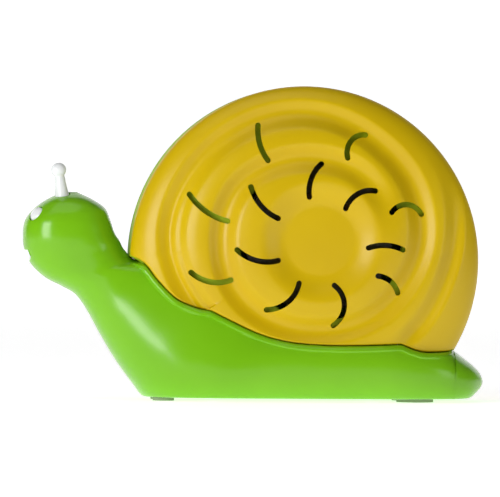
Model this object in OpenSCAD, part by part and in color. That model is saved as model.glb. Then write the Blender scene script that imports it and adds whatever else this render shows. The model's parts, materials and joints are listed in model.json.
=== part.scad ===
// Snail tape dispenser: a round slotted shell on a long foot, with the tape coming out at the mouth.
// The head points along -X, the shell's open side along -Y, and the feet stand on Z = 0.

/* [Overall] */
// Diameter of the round shell
shell_d = 113; // [96:0.5:136]
// How far the shell's circle would go below the ground if it were whole
shell_sink = 11; // [6:0.5:16]
// How far the nose reaches ahead of the shell
neck_reach = 34.4; // [28:0.2:44]
// How far the tail reaches behind the shell
tail_reach = 2.6; // [1:0.2:10]
// Full width of the foot
foot_w = 50; // [46:0.5:60]
// Height of the foot's underside above the ground
foot_gap = 1; // [0.6:0.1:2]
// Wall of the moulded body
wall = 2.2; // [1.6:0.1:3]

/* [Head] */
// Diameter of the head
head_d = 28.6; // [26:0.2:34]
// Height of the head's centre above the shell's centre
head_rise = 7; // [4:0.2:10]
// Width of the neck behind the head
neck_w = 27; // [24:0.5:34]
// Height of the mouth slot
mouth_h = 2.4; // [1.6:0.1:3]
// Diameter of a round eye insert
eye_d = 5.2; // [4:0.1:7]
// Diameter of the ball on a feeler
feeler_ball_d = 4.8; // [3:0.1:6]
// Height of a feeler above the head
feeler_h = 9.4; // [6:0.2:12]
// Distance between the two feelers
feeler_span = 9; // [7:0.2:12]

/* [Shell] */
// Width of the green band between the two covers
band_w = 21; // [20:0.5:26]
// Full width over both covers
shell_w = 50; // [44:0.5:60]
// Wall of a cover
cover_t = 2; // [1.5:0.1:3]
// Width of a vent slot
slot_w = 1.8; // [1.2:0.1:2.6]
// Gap between a cover and the body along the seam
seam_gap = 0.35; // [0.3:0.05:0.6]
// Diameter of a cover's locating peg
peg_d = 4; // [3:0.2:5]

/* [Tape] */
// Width of the tape
tape_w = 12; // [8:0.5:14]
// Diameter of the wound roll
roll_d = 48; // [34:0.5:50]
// Inside diameter of the paper core
core_d = 25.4; // [20:0.2:30]
// Wall of the paper core
core_t = 2; // [1:0.1:3]
// Diameter of the spindle
spindle_d = 6; // [4:0.2:8]
// Radial clearance of a turning piece on its pin
run_gap = 0.06; // [0.02:0.01:0.1]
// Diameter of the guide roller
roller_d = 10; // [8:0.2:12]
// Diameter of the guide roller's pin
pin_d = 3; // [2:0.1:4]
// Thickness of the tape lead
lead_t = 0.4; // [0.2:0.05:0.6]

/* [Base] */
// Length of the base plate
plate_l = 59; // [50:0.5:62]
// Width of the base plate
plate_w = 34; // [28:0.5:36]
// Thickness of the base plate
plate_t = 2; // [1.5:0.1:3]
// Length of the ballast
ballast_l = 38; // [26:0.5:40]
// Width of the ballast
ballast_w = 26; // [16:0.5:28]
// Height of the ballast
ballast_h = 8; // [4:0.2:9]
// Diameter of a front rubber foot
front_pad_d = 7; // [5:0.2:10]
// Diameter of a rear rubber foot
rear_pad_d = 12; // [8:0.2:14]
// Thickness of a rubber foot
pad_t = 1.8; // [1.4:0.1:3]
// Thread diameter of the screws
screw_d = 2.6; // [2:0.1:3.5]

/* [Hidden] */
$fn = 64;
eps = 0.01;
far = 200;

// Places worked out from the driving sizes
shell_r = shell_d / 2;
body_l = neck_reach + shell_d + tail_reach;
shell_x = -body_l / 2 + neck_reach + shell_r;
shell_z = shell_r - shell_sink;
head_r = head_d / 2;
head_x = -body_l / 2 + head_r;
head_z = shell_z + head_rise;
band_h = band_w / 2;
dome_h = shell_w / 2;
hub_x = shell_x + 0.0862 * shell_r;
hub_z = shell_z + 0.13 * shell_r;
hub_dish_r = 0.19 * shell_r;
hub_dish_h = 3.2;
groove_max = 2.6;
dish_drop = cover_t + groove_max + 0.7;
shoulder = cover_t + 1;
roll_gap = 2.5;
cup_r = roll_d / 2 + roll_gap;
moulded = 2;
fit_gap = 0.1;
mouth_z = head_z - 0.33 * head_r;
mouth_w = tape_w + 2.6;
guide_t = 1.6;
roller_x = shell_x - 0.88 * shell_r;
roller_z = shell_z - 0.31 * shell_r;
roller_gap = 0.25;
washer_t = 1;
flange_t = 1.5;
cup_h = tape_w / 2 + flange_t + washer_t + 0.2;
hub_r = core_d / 2 - 0.15;
clip_t = 0.8;

// Smooth curve through hand-set points
function spline(p, i, t) =
    let (a = p[max(i - 1, 0)], b = p[i], c = p[i + 1], d = p[min(i + 2, len(p) - 1)])
    0.5 * (2 * b + (c - a) * t + (2 * a - 5 * b + 4 * c - d) * t * t + (3 * b - a - 3 * c + d) * t * t * t);
function curve(p, steps) =
    concat([for (i = [0:len(p) - 2]) for (k = [0:steps - 1]) spline(p, i, k / steps)], [p[len(p) - 1]]);
function about_shell(p) = [shell_x + p[0] * shell_r, shell_z + p[1] * shell_r];
function bump(s) = abs(s) >= 1 ? 0 : pow(1 - s * s, 2);

// Seam between a cover and the body, in shares of the shell's radius about its centre: three scallops
SEAM = concat(
    curve([[-1, 0.02], [-0.92, -0.025], [-0.845, -0.12], [-0.745, -0.22], [-0.64, -0.27], [-0.55, -0.29]], 2),
    curve([[-0.54, -0.292], [-0.425, -0.35], [-0.27, -0.42], [-0.1, -0.465], [0.1, -0.482], [0.3, -0.483],
        [0.54, -0.475]], 2),
    curve([[0.55, -0.476], [0.62, -0.505], [0.69, -0.52], [0.8, -0.517], [0.863, -0.505]], 2));

module above_seam(rise = 0) {
    translate([shell_x + rise / 2, shell_z + rise])
        polygon(concat([for (p = SEAM) p * shell_r],
            [[1.5, -0.48] * shell_r, [1.5, 1.5] * shell_r, [-1.5, 1.5] * shell_r, [-1.5, 0.02] * shell_r]));
}

module below_seam(rise = 0) {
    translate([shell_x + rise / 2, shell_z + rise])
        polygon(concat([for (p = SEAM) p * shell_r],
            [[1.5, -0.48] * shell_r, [1.5, -1.5] * shell_r, [-3, -1.5] * shell_r, [-3, 1.5] * shell_r,
                [-1, 1.5] * shell_r]));
}

module above_height(z) {
    translate([-far, z]) square([2 * far, far]);
}

// Lays a flat outline drawn in X and Z between two Y planes
module slab(y_low, y_high) {
    translate([0, y_high, 0]) rotate([90, 0, 0]) linear_extrude(y_high - y_low) children();
}

// A cylinder along Y between two Y planes
module bar(x, z, r, y_low, y_high) {
    translate([x, y_high, z]) rotate([90, 0, 0]) cylinder(r = r, h = y_high - y_low);
}

// A turned shape about an axis along Y: its outline is drawn as radius and Y
module turned(x, z) {
    translate([x, 0, z]) rotate([-90, 0, 0]) rotate_extrude() children();
}

// Neck and foot: each station is a front or lower point, a back or upper point and a half width.
// Points ahead of the shell's centre are shares of the reach to the nose, points behind it of the
// reach to the tail, and heights are shares of the height of the shell's centre.
NOSE_SPAN = shell_r + neck_reach;
TAIL_SPAN = shell_r + tail_reach;
function place(u, v) = [shell_x + u * (u < 0 ? NOSE_SPAN : TAIL_SPAN), v * shell_z];
function station(au, av, bu, bv, w) = let (a = place(au, av), b = place(bu, bv)) [a[0], a[1], b[0], b[1], w];
// The head's stations are shares of its radius about its centre
function head_station(au, av, bu, bv, w) =
    [head_x + au * head_r, head_z + av * head_r, head_x + bu * head_r, head_z + bv * head_r, w * head_r];
STATIONS = curve([
    head_station(-0.116, 0.968, 0.201, 0.974, 0.2),
    head_station(-0.479, 0.828, 0.519, 0.837, 0.66),
    head_station(-0.771, 0.624, 0.79, 0.656, 0.86),
    head_station(-0.956, 0.37, 0.985, 0.4, 0.966),
    head_station(-1, 0.029, 1.085, 0.115, 1),
    head_station(-0.962, -0.292, 1.2, -0.07, 0.994),
    head_station(-0.797, -0.63, 1.3, -0.26, 0.966),
    station(-0.918, 0.864, -0.6, 1.04, mix(head_d, neck_w, 0.8) * 0.49),
    station(-0.861, 0.806, -0.55, 1.05, neck_w * 0.5),
    station(-0.81, 0.745, -0.5, 1.06, neck_w * 0.515),
    station(-0.768, 0.63, -0.435, 1.04, mix(neck_w, foot_w, 0.13) / 2),
    station(-0.725, 0.474, -0.365, 0.99, mix(neck_w, foot_w, 0.3) / 2),
    station(-0.668, 0.286, -0.295, 0.92, mix(neck_w, foot_w, 0.52) / 2),
    station(-0.611, 0.13, -0.215, 0.84, mix(neck_w, foot_w, 0.73) / 2),
    station(-0.553, 0.0, -0.13, 0.74, mix(neck_w, foot_w, 0.88) / 2),
    station(-0.45, -0.06, -0.064, 0.61, foot_w * 0.492),
    station(-0.3, -0.08, 0.02, 0.58, foot_w * 0.5),
    station(-0.03, -0.08, 0.12, 0.56, foot_w * 0.5),
    station(0.2, -0.08, 0.28, 0.55, foot_w * 0.5),
    station(0.5, -0.07, 0.5, 0.52, foot_w * 0.48),
    station(0.76, -0.05, 0.76, 0.42, foot_w * 0.4),
    station(0.9, 0.0, 0.905, 0.30, foot_w * 0.29),
    station(0.975, 0.08, 0.975, 0.22, foot_w * 0.15),
    station(1.0, 0.13, 1.0, 0.16, foot_w * 0.04)], 2);
ROUNDNESS = 2.5;
SIDE_STEPS = 10;
function mix(a, b, t) = a + (b - a) * t;
function sq(v) = sign(v) * pow(abs(v), 2 / ROUNDNESS);

// One half ring of the neck and foot, drawn in by `inset`, from its lower to its upper edge
function half_ring(s, inset, lap) =
    let (a = [s[0], s[1]], b = [s[2], s[3]], len_ab = norm(b - a), along = (b - a) / len_ab,
        half = max(len_ab / 2 - inset, 0.3), mid = (a + b) / 2, w = max(s[4] - inset, 0.3))
    concat(
        [[mid[0] - along[0] * half, lap, mid[1] - along[1] * half]],
        [for (k = [0:SIDE_STEPS]) let (t = -90 + 180 * k / SIDE_STEPS, q = mid + along * half * sq(sin(t)))
            [q[0], -w * abs(sq(cos(t))), q[1]]],
        [[mid[0] + along[0] * half, lap, mid[1] + along[1] * half]]);

module neck_and_foot(inset = 0, lap = 0.2) {
    skip = inset > 1 ? 2 : 0;
    rings = [for (i = [skip:len(STATIONS) - 1 - skip]) half_ring(STATIONS[i], inset, lap)];
    n = len(rings[0]);
    last = len(rings) - 1;
    polyhedron(
        points = [for (r = rings) each r],
        faces = concat(
            [for (i = [0:last - 1]) for (k = [0:n - 1]) let (j = (k + 1) % n)
                each [[i * n + k, (i + 1) * n + j, (i + 1) * n + k], [i * n + k, i * n + j, (i + 1) * n + j]]],
            [[for (k = [n - 1:-1:0]) k]],
            [[for (k = [0:n - 1]) last * n + k]]));
}

// The dished wall of the housing behind a cover, as an outline of radius and Y
function dome_at(q) = band_h + (dome_h - band_h) * pow(max(1 - pow(q, 2.4), 0), 0.56);
function dish_at(q) = q * shell_r > shell_r - shoulder ? band_h : max(band_h, dome_at(q) - dish_drop);
DISH_SHARES = [0, 0.2, 0.4, 0.5, 0.6, 0.7, 0.78, 0.84, 0.89, 0.93];
module dish_outline(drop = 0) {
    polygon(concat(
        [for (q = DISH_SHARES) [q * shell_r, dish_at(q) - drop]],
        [[shell_r - shoulder, band_h - drop], [shell_r - drop, band_h - drop], [shell_r - drop, 0], [0, 0]]));
}

module dish(drop = 0) {
    mirror([0, 1, 0]) turned(shell_x, shell_z) dish_outline(drop);
}

module at_hub(share, angle) {
    translate([hub_x + share * shell_r * cos(angle), 0, hub_z + share * shell_r * sin(angle)]) children();
}

PEGS = [[0.73, 20], [0.745, 76], [0.67, 150], [0.75, -22]];
module pillar_places() {
    for (p = [[0.78, 0], [0.72, 47], [0.72, 112]]) at_hub(p[0], p[1]) children();
}

module y_cylinder(r, y_low, y_high) {
    translate([0, y_high, 0]) rotate([90, 0, 0]) cylinder(r = r, h = y_high - y_low);
}

base_x = shell_x - 3.5;
plate_corner = 5;
ballast_gap = 1.5;
ballast_corner = 3;
boss_r = screw_d / 2 + 1.9;
boss_y = plate_w / 2 - boss_r - 0.6;
boss_dx = plate_l / 2 - boss_r - 0.6;
boss_h = 9;
screw_head_t = 0.9;
head_seat = 5.1;
thread_reach = 6;
module base_boss_places() {
    for (s = [-1, 1]) translate([base_x + s * boss_dx, -boss_y, 0]) children();
}

// Feet: place of the near one and diameter
front_pad = [shell_x - shell_r * 0.8, -foot_w * 0.16, front_pad_d];
rear_pad = [shell_x + shell_r * 0.643, -foot_w * 0.18, rear_pad_d];
pad_seat = pad_t - foot_gap;

// Frame on the head's surface for the near eye
eye_at = [-0.70, -0.49, 0.52];
eye_face = [-0.60, -0.65, 0.466];
eye_sink = 1.4;
eye_seat_h = 1.1;
eye_dome = 1.5;
module eye_frame() {
    translate([head_x, 0, head_z] + (head_r - eye_sink) * eye_at)
        rotate([0, acos(eye_face[2]), atan2(eye_face[1], eye_face[0])]) children();
}

feeler_x = head_x - 0.13 * head_r;
feeler_floor = head_z + sqrt(pow(head_r, 2) - pow(feeler_span / 2 + feeler_ball_d / 2, 2)) - 0.4;
feeler_foot_r = 2.35;
feeler_stem_r = 1.65;
feeler_foot_h = 4.5;
feeler_peg_r = 1.2;
feeler_peg_h = 3;

guide_back = [head_x + 0.05 * head_r, mouth_z - 3.2];
guide_front = [head_x - head_r * 0.74, mouth_z - 0.7];
guide_dir = (guide_front - guide_back) / norm(guide_front - guide_back);
guide_up = [guide_dir[1], -guide_dir[0]];
blade_l = 4.6;
blade_t = 0.5;
tooth_h = 0.8;
TEETH = 12;
rivet_along = 2.2;
rivet_r = 0.8;

module mouth_slot() {
    translate([head_x - head_r * 0.75, 0, mouth_z - 0.5]) cube([head_r, mouth_w, mouth_h], center = true);
    translate([head_x - head_r, 0, mouth_z - 0.4 - mouth_h]) rotate([0, 35, 0])
        cube([3.4, 2 * head_r, mouth_h * 0.8], center = true);
}

// The near half of the green body, with its cut at Y = 0
module body_half() {
    difference() {
        union() {
            intersection() {
                difference() {
                    neck_and_foot();
                    intersection() {
                        neck_and_foot(wall, 1);
                        slab(-far, far) intersection() {
                            below_seam(-wall);
                            above_height(foot_gap + wall);
                        }
                    }
                }
                slab(-far, 0) intersection() {
                    below_seam();
                    above_height(foot_gap);
                }
            }
            // bosses that the base plate is screwed to, tied to the wall
            intersection() {
                neck_and_foot(eps);
                base_boss_places() {
                    translate([0, 0, foot_gap + plate_t]) cylinder(r = boss_r, h = boss_h);
                    translate([-1, -far, foot_gap + plate_t]) cube([2, far, boss_h]);
                }
            }
            // seats for the rubber feet
            intersection() {
                neck_and_foot(eps);
                for (p = [front_pad, rear_pad])
                    translate([p[0], p[1], foot_gap]) cylinder(r = p[2] / 2 + 1.5, h = pad_seat + 1.6);
            }
            // bearing for the guide roller's pin
            intersection() {
                neck_and_foot(eps);
                bar(roller_x, roller_z, pin_d / 2 + 2, -far, -tape_w / 2 - 1.6);
            }
        }
        // way for the tape between the shell and the foot
        intersection() {
            bar(shell_x, shell_z, shell_r - wall - 1, -tape_w / 2 - 1.5, 1);
            slab(-far, far) above_seam(-wall - 0.5);
        }
        mouth_slot();
        guide_seat();
        // pockets for the eye and the feeler
        eye_frame() cylinder(d = eye_d + 2 * fit_gap, h = far);
        translate([feeler_x, -feeler_span / 2, feeler_floor]) cylinder(r = feeler_foot_r + fit_gap, h = 4);
        translate([feeler_x, -feeler_span / 2, feeler_floor - feeler_peg_h])
            cylinder(r = feeler_peg_r + fit_gap, h = 4);
        bar(roller_x, roller_z, pin_d / 2 + 0.01, -tape_w / 2 - 4, 0);
        plate_recess();
        for (p = [front_pad, rear_pad])
            translate([p[0], p[1], foot_gap - 1]) cylinder(r = p[2] / 2 + fit_gap, h = 1 + pad_seat);
        base_boss_places() translate([0, 0, foot_gap]) cylinder(d = screw_d, h = plate_t + boss_h - 1);
    }
}

// Half of the housing between the covers: a dished wall, its half of the band, and the cup for the roll
module housing_half() {
    difference() {
        intersection() {
            union() {
                difference() {
                    dish();
                    dish(moulded);
                }
                intersection() {
                    dish(eps);
                    difference() {
                        bar(hub_x, hub_z, cup_r + moulded, -far, -cup_h);
                        bar(hub_x, hub_z, cup_r, -far, 0);
                    }
                }
                intersection() {
                    dish(eps);
                    pillar_places() y_cylinder(boss_r + 0.4, -far, 0);
                }
            }
            slab(-far, 0) above_seam();
        }
        bar(hub_x, hub_z, cup_r, -far, 1);
        for (p = PEGS) at_hub(p[0], p[1]) y_cylinder(peg_d / 2 + seam_gap, -far, -3);
    }
}

module rounded_plate(l, w, r, z, h) {
    translate([base_x, 0, z]) linear_extrude(h) union() {
        square([l - 2 * r, w], center = true);
        square([l, w - 2 * r], center = true);
        for (sx = [-1, 1]) for (sy = [-1, 1]) translate([sx * (l / 2 - r), sy * (w / 2 - r)]) circle(r = r);
    }
}

// Recess for the base plate, and the window above it that the ballast stands in
module plate_recess() {
    rounded_plate(plate_l + 2 * fit_gap, plate_w + 2 * fit_gap, plate_corner, foot_gap - 1, plate_t + 1);
    rounded_plate(ballast_l + 2 * ballast_gap, ballast_w + 2 * ballast_gap, ballast_corner, foot_gap,
        wall + ballast_gap);
}

module guide_outline(grow = 0) {
    polygon([guide_front + [-grow, grow], guide_back + [grow, grow], guide_back + [grow, -guide_t - grow],
        guide_front + [-grow, -guide_t - grow]]);
}

// Grooves in the mouth's side walls that the guide slides into, with room for the blade under it
module guide_seat() {
    slab(-mouth_w / 2, 1) guide_outline(fit_gap);
    low = guide_t + blade_t + 2 * fit_gap;
    slab(-tape_w / 2 - fit_gap, 1) polygon([for (c = [[3, 0], [-blade_l - fit_gap, 0],
        [-blade_l - fit_gap, -low], [3, -low]]) guide_front + c[0] * guide_dir + c[1] * guide_up]);
}

// A cover's outer face. Heights are measured from the body's cut: a dome with a dished middle and
// one spiral groove that winds outwards. Groove radii are shares of the shell's, one a quarter turn.
GROOVE = [0.385, 0.448, 0.57, 0.522, 0.573, 0.70, 0.855, 0.70];
GROOVE_TURN = 90;
GROOVE_END = 620;
function groove_r(turn) =
    let (q = turn / GROOVE_TURN, i = min(floor(q), len(GROOVE) - 2)) spline(GROOVE, i, q - i) * shell_r;
function groove_depth(turn) = groove_max * min(1, max(0, turn / 60));
function groove_cut(turn, r) = turn > GROOVE_END ? 0
    : groove_depth(turn) * bump((r - groove_r(turn)) / (0.085 * shell_r));
function dish_down(r) = let (t = (r - hub_dish_r) / (0.17 * shell_r)) t >= 1 ? 0
    : t <= 0 ? hub_dish_h : hub_dish_h * (1 - t * t * (3 - 2 * t));
function cover_y(p) =
    let (d = p - [hub_x, hub_z], r = norm(d), a = (atan2(d[1], d[0]) + 360) % 360)
    dome_at(min(norm(p - [shell_x, shell_z]) / shell_r, 1))
        - dish_down(r) - groove_cut(a, r) - groove_cut(a + 360, r);

// Edge of a cover: along the seam from left to right, then round the shell's rim back to the start
SEAM_EDGE = [for (p = SEAM) about_shell(p) + [seam_gap / 2, seam_gap]];
RIM_STEPS = 34;
rim_from = atan2(-0.505, 0.863);
rim_to = atan2(0.02, -1);
RIM_EDGE = [for (k = [1:RIM_STEPS - 1]) let (a = mix(rim_from, rim_to, k / RIM_STEPS))
    [shell_x, shell_z] + shell_r * [cos(a), sin(a)]];
EDGE = concat(SEAM_EDGE, RIM_EDGE);
COVER_RINGS = 13;
rim_edge_h = 1.2;
edge_inset = 1.8 * cover_t;
function edge_floor(i) = i >= len(SEAM_EDGE) ? band_h
    : dish_at(max(0, norm(EDGE[i] - [shell_x, shell_z]) - edge_inset) / shell_r) + seam_gap;
function toward_hub(p, d) = let (h = [hub_x, hub_z], v = p - h) h + v * (1 - d / norm(v));
function cover_ring(j, drop) = [for (i = [0:len(EDGE) - 1])
    let (h = [hub_x, hub_z], p = h + (toward_hub(EDGE[i], drop) - h) * j / COVER_RINGS)
    [p[0], -max(cover_y(p) - drop, edge_floor(i) + (drop > 0 ? 0.3 : rim_edge_h)), p[1]]];

module cover_shell() {
    n = len(EDGE);
    outer = [for (j = [1:COVER_RINGS]) each cover_ring(j, 0)];
    low_out = [for (i = [0:n - 1]) [EDGE[i][0], -edge_floor(i), EDGE[i][1]]];
    low_in = [for (i = [0:n - 1]) let (p = toward_hub(EDGE[i], cover_t)) [p[0], -edge_floor(i), p[1]]];
    inner = [for (j = [COVER_RINGS:-1:1]) each cover_ring(j, cover_t)];
    tip = cover_y([hub_x, hub_z]);
    rings = 2 * COVER_RINGS + 2;
    polyhedron(
        points = concat(outer, low_out, low_in, inner, [[hub_x, -tip, hub_z], [hub_x, -tip + cover_t, hub_z]]),
        faces = concat(
            [for (i = [0:n - 1]) [rings * n, (i + 1) % n, i]],
            [for (j = [0:rings - 2]) for (i = [0:n - 1]) let (k = (i + 1) % n)
                each [[j * n + i, (j + 1) * n + k, (j + 1) * n + i], [j * n + i, j * n + k, (j + 1) * n + k]]],
            [for (i = [0:n - 1]) [rings * n + 1, (rings - 1) * n + i, (rings - 1) * n + (i + 1) % n]]));
}

// Vent slots, each the arc between an outer and an inner end: their angles in degrees and shares of
// the shell's radius about the hub, then the arc's height as a share of its chord
SLOTS = [
    [42, 0.408, 52, 0.218, 0.19], [90.5, 0.425, 107.5, 0.247, 0.14], [144.5, 0.50, 156, 0.276, 0.12],
    [188, 0.49, 207, 0.28, 0.13], [232.5, 0.515, 243, 0.287, 0.17], [278, 0.50, 285, 0.276, 0.25],
    [352.5, 0.466, 349, 0.27, 0.1], [14, 0.59, 21, 0.425, 0.28], [67, 0.644, 72.5, 0.483, 0.27],
    [119.5, 0.738, 125, 0.54, 0.11], [162, 0.793, 170, 0.546, 0.1], [195, 0.77, 205, 0.57, 0.14],
    [325, 0.535, 326.5, 0.382, 0.15]];
module slot_outline(s) {
    p = [s[1] * cos(s[0]), s[1] * sin(s[0])] * shell_r;
    q = [s[3] * cos(s[2]), s[3] * sin(s[2])] * shell_r;
    chord = norm(q - p);
    bow = chord * s[4];
    bend_r = (chord * chord / 4 + bow * bow) / (2 * bow);
    lean = atan2(q[1] - p[1], q[0] - p[0]);
    half_a = asin(chord / 2 / bend_r);
    translate([hub_x, hub_z]) translate((p + q) / 2) rotate(lean) mirror([0, 1]) translate([0, bow - bend_r]) {
        intersection() {
            difference() {
                circle(r = bend_r + slot_w / 2);
                circle(r = bend_r - slot_w / 2);
            }
            polygon([[0, 0], [-2 * bend_r * sin(half_a), 2 * bend_r * cos(half_a)],
                [2 * bend_r * sin(half_a), 2 * bend_r * cos(half_a)]]);
        }
        for (s = [-1, 1]) translate([s * bend_r * sin(half_a), bend_r * cos(half_a)]) circle(d = slot_w, $fn = 24);
    }
}

module shell_cover() {
    difference() {
        union() {
            cover_shell();
            for (p = PEGS) at_hub(p[0], p[1]) y_cylinder(peg_d / 2,
                -cover_y([hub_x, hub_z] + p[0] * shell_r * [cos(p[1]), sin(p[1])]) + cover_t - 0.5,
                -band_h + moulded);
        }
        slab(-far, 0) for (s = SLOTS) slot_outline(s);
    }
}

module near_shell_cover() {
    color("gold") shell_cover();
}

module far_shell_cover() {
    color("gold") mirror([0, 1, 0]) shell_cover();
}

module body_near() {
    color("yellowgreen") body_half();
}

module body_far() {
    color("yellowgreen") mirror([0, 1, 0]) body_half();
}

module near_housing() {
    color("yellowgreen") difference() {
        housing_half();
        pillar_places() y_cylinder(screw_d / 2 + eps, -thread_reach, 1);
    }
}

// The far half also has the floor that carries the spindle
module far_housing() {
    color("yellowgreen") mirror([0, 1, 0]) difference() {
        union() {
            housing_half();
            bar(hub_x, hub_z, cup_r + moulded / 2, -cup_h - moulded, -cup_h);
            bar(hub_x, hub_z, spindle_d / 2 + 3, -cup_h - moulded, -tape_w / 2 - flange_t - washer_t);
        }
        bar(hub_x, hub_z, spindle_d / 2 + eps, -far, 1);
        pillar_places() {
            y_cylinder(screw_d / 2 + 2 * fit_gap, -far, 1);
            y_cylinder(screw_d + fit_gap, -far, -head_seat);
        }
    }
}

// A disc with a domed face
module eye() {
    dome_r = (pow(eye_d / 2, 2) + pow(eye_dome, 2)) / (2 * eye_dome);
    color("white") eye_frame() {
        cylinder(d = eye_d, h = eye_seat_h);
        intersection() {
            translate([0, 0, eye_seat_h + eye_dome - dome_r]) sphere(r = dome_r, $fn = 48);
            cylinder(d = eye_d, h = far);
        }
    }
}

module near_eye() {
    eye();
}

module far_eye() {
    mirror([0, 1, 0]) eye();
}

module feeler() {
    color("white") translate([feeler_x, -feeler_span / 2, feeler_floor]) rotate_extrude() difference() {
        union() {
            polygon([[0, 3 * fit_gap - feeler_peg_h], [feeler_peg_r, 3 * fit_gap - feeler_peg_h],
                [feeler_peg_r, 0], [feeler_foot_r, 0], [feeler_foot_r, 0.3 * feeler_foot_h],
                [feeler_stem_r, feeler_foot_h], [feeler_stem_r, feeler_h], [0, feeler_h]]);
            translate([0, feeler_h]) circle(d = feeler_ball_d, $fn = 32);
        }
        translate([-far, -far / 2]) square([far, far]);
    }
}

module near_feeler() {
    feeler();
}

module far_feeler() {
    mirror([0, 1, 0]) feeler();
}

// Spindle: a pin pressed in the far half, with a head outside it and a groove for the clip
spindle_tip = -tape_w / 2 - 2.2;
clip_y = spindle_tip + 0.8;
module spindle() {
    color("silver") turned(hub_x, hub_z) polygon([[0, spindle_tip], [spindle_d / 2 - 0.4, spindle_tip],
        [spindle_d / 2, spindle_tip + 0.4], [spindle_d / 2, clip_y], [spindle_d / 2 - 0.6, clip_y],
        [spindle_d / 2 - 0.6, clip_y + clip_t], [spindle_d / 2, clip_y + clip_t],
        [spindle_d / 2, cup_h + moulded], [spindle_d / 2 + 1.5, cup_h + moulded],
        [spindle_d / 2 + 1.5, cup_h + moulded + 1.5], [0, cup_h + moulded + 1.5]]);
}

module spindle_clip() {
    color("dimgray") difference() {
        bar(hub_x, hub_z, spindle_d / 2 + 1.6, clip_y, clip_y + clip_t);
        bar(hub_x, hub_z, spindle_d / 2 - 0.6, clip_y - 1, clip_y + clip_t + 1);
        translate([hub_x - (spindle_d / 2 - 0.8), clip_y - 1, hub_z - far])
            cube([spindle_d - 1.6, clip_t + 2, far]);
    }
}

module drag_washer() {
    color("dimgray") difference() {
        bar(hub_x, hub_z, spindle_d / 2 + 2.8, tape_w / 2 + flange_t + 0.05, tape_w / 2 + flange_t + washer_t);
        bar(hub_x, hub_z, spindle_d / 2 + 0.02, 0, far);
    }
}

// Hub: a sleeve on the spindle, a disc, and a drum with a flange that stops the core
module tape_hub() {
    sleeve_r = spindle_d / 2 + run_gap;
    near_y = clip_y + clip_t + 0.15;
    color("whitesmoke") {
        difference() {
            turned(hub_x, hub_z) polygon([[sleeve_r, near_y], [sleeve_r + 2, near_y], [sleeve_r + 2, -1],
                [hub_r - 1.6, -1], [hub_r - 1.6, -tape_w / 2], [hub_r, -tape_w / 2], [hub_r, tape_w / 2 + 0.2],
                [hub_r + 3, tape_w / 2 + 0.2], [hub_r + 3, tape_w / 2 + flange_t],
                [hub_r - 1.6, tape_w / 2 + flange_t], [hub_r - 1.6, 1], [sleeve_r + 2, 1],
                [sleeve_r + 2, tape_w / 2 + flange_t], [sleeve_r, tape_w / 2 + flange_t]]);
            for (a = [0:60:300]) rotate_at_hub(a) bar(hub_x + (sleeve_r + hub_r) / 2, hub_z, 1.3, -3, 3);
        }
    }
}

module rotate_at_hub(a) {
    translate([hub_x, 0, hub_z]) rotate([0, a, 0]) translate([-hub_x, 0, -hub_z]) children();
}

module tape_core() {
    color("tan") difference() {
        bar(hub_x, hub_z, core_d / 2 + core_t, -tape_w / 2, tape_w / 2);
        bar(hub_x, hub_z, core_d / 2, -far, far);
    }
}

module tape_roll() {
    color("lightyellow") difference() {
        bar(hub_x, hub_z, roll_d / 2, -tape_w / 2, tape_w / 2);
        bar(hub_x, hub_z, core_d / 2 + core_t, -far, far);
    }
}

// Tape from the roll's upper side, under the roller and up the neck to the mouth
hub_to_roller = [roller_x - hub_x, roller_z - hub_z];
lead_r = roller_d / 2 + roller_gap + lead_t / 2;
roll_lead_r = roll_d / 2 + 0.3 + lead_t / 2;
cross_turn = asin((lead_r + roll_lead_r) / norm(hub_to_roller));
leave_a = atan2(hub_to_roller[1], hub_to_roller[0]) - 90 + cross_turn;
lift = 0.15 + lead_t / 2;
guide_in = guide_back + guide_up * lift;
guide_out = guide_front + guide_up * lift + guide_dir * 0.4;
roller_to_guide = guide_in - [roller_x, roller_z];
up_a = atan2(roller_to_guide[1], roller_to_guide[0]) - 270 - asin(lead_r / norm(roller_to_guide));
arc_from = leave_a + 180;
WRAP_STEPS = 10;
LEAD = concat(
    [[hub_x, hub_z] + roll_lead_r * [cos(leave_a), sin(leave_a)]],
    [for (k = [0:WRAP_STEPS]) let (a = mix(arc_from, up_a, k / WRAP_STEPS))
        [roller_x, roller_z] + lead_r * [cos(a), sin(a)]],
    [guide_in, guide_out]);
function side_dir(p, i) =
    let (a = p[max(i - 1, 0)], b = p[min(i + 1, len(p) - 1)], d = (b - a) / norm(b - a)) [-d[1], d[0]];

module tape_lead() {
    color("lightyellow") slab(-tape_w / 2, tape_w / 2) polygon(concat(
        [for (i = [0:len(LEAD) - 1]) LEAD[i] + side_dir(LEAD, i) * lead_t / 2],
        [for (i = [len(LEAD) - 1:-1:0]) LEAD[i] - side_dir(LEAD, i) * lead_t / 2]));
}

roller_half = tape_w / 2 + 0.8;
module guide_roller() {
    color("whitesmoke") turned(roller_x, roller_z) polygon([[pin_d / 2 + run_gap, -roller_half],
        [roller_d / 2 - 0.6, -roller_half], [roller_d / 2, -roller_half + 0.6],
        [roller_d / 2, roller_half - 0.6], [roller_d / 2 - 0.6, roller_half], [pin_d / 2 + run_gap, roller_half]]);
}

module roller_pin() {
    color("silver") bar(roller_x, roller_z, pin_d / 2, -tape_w / 2 - 3.8, tape_w / 2 + 3.8);
}

module mouth_guide() {
    color("whitesmoke") difference() {
        slab(-mouth_w / 2 + fit_gap, mouth_w / 2 - fit_gap) guide_outline();
        rivet_places() rivet_hole();
    }
}

module rivet_places() {
    for (s = [-1, 1]) on_guide(-rivet_along, 0) translate([0, s * (tape_w / 2 - 1.5), 0]) children();
}

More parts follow.
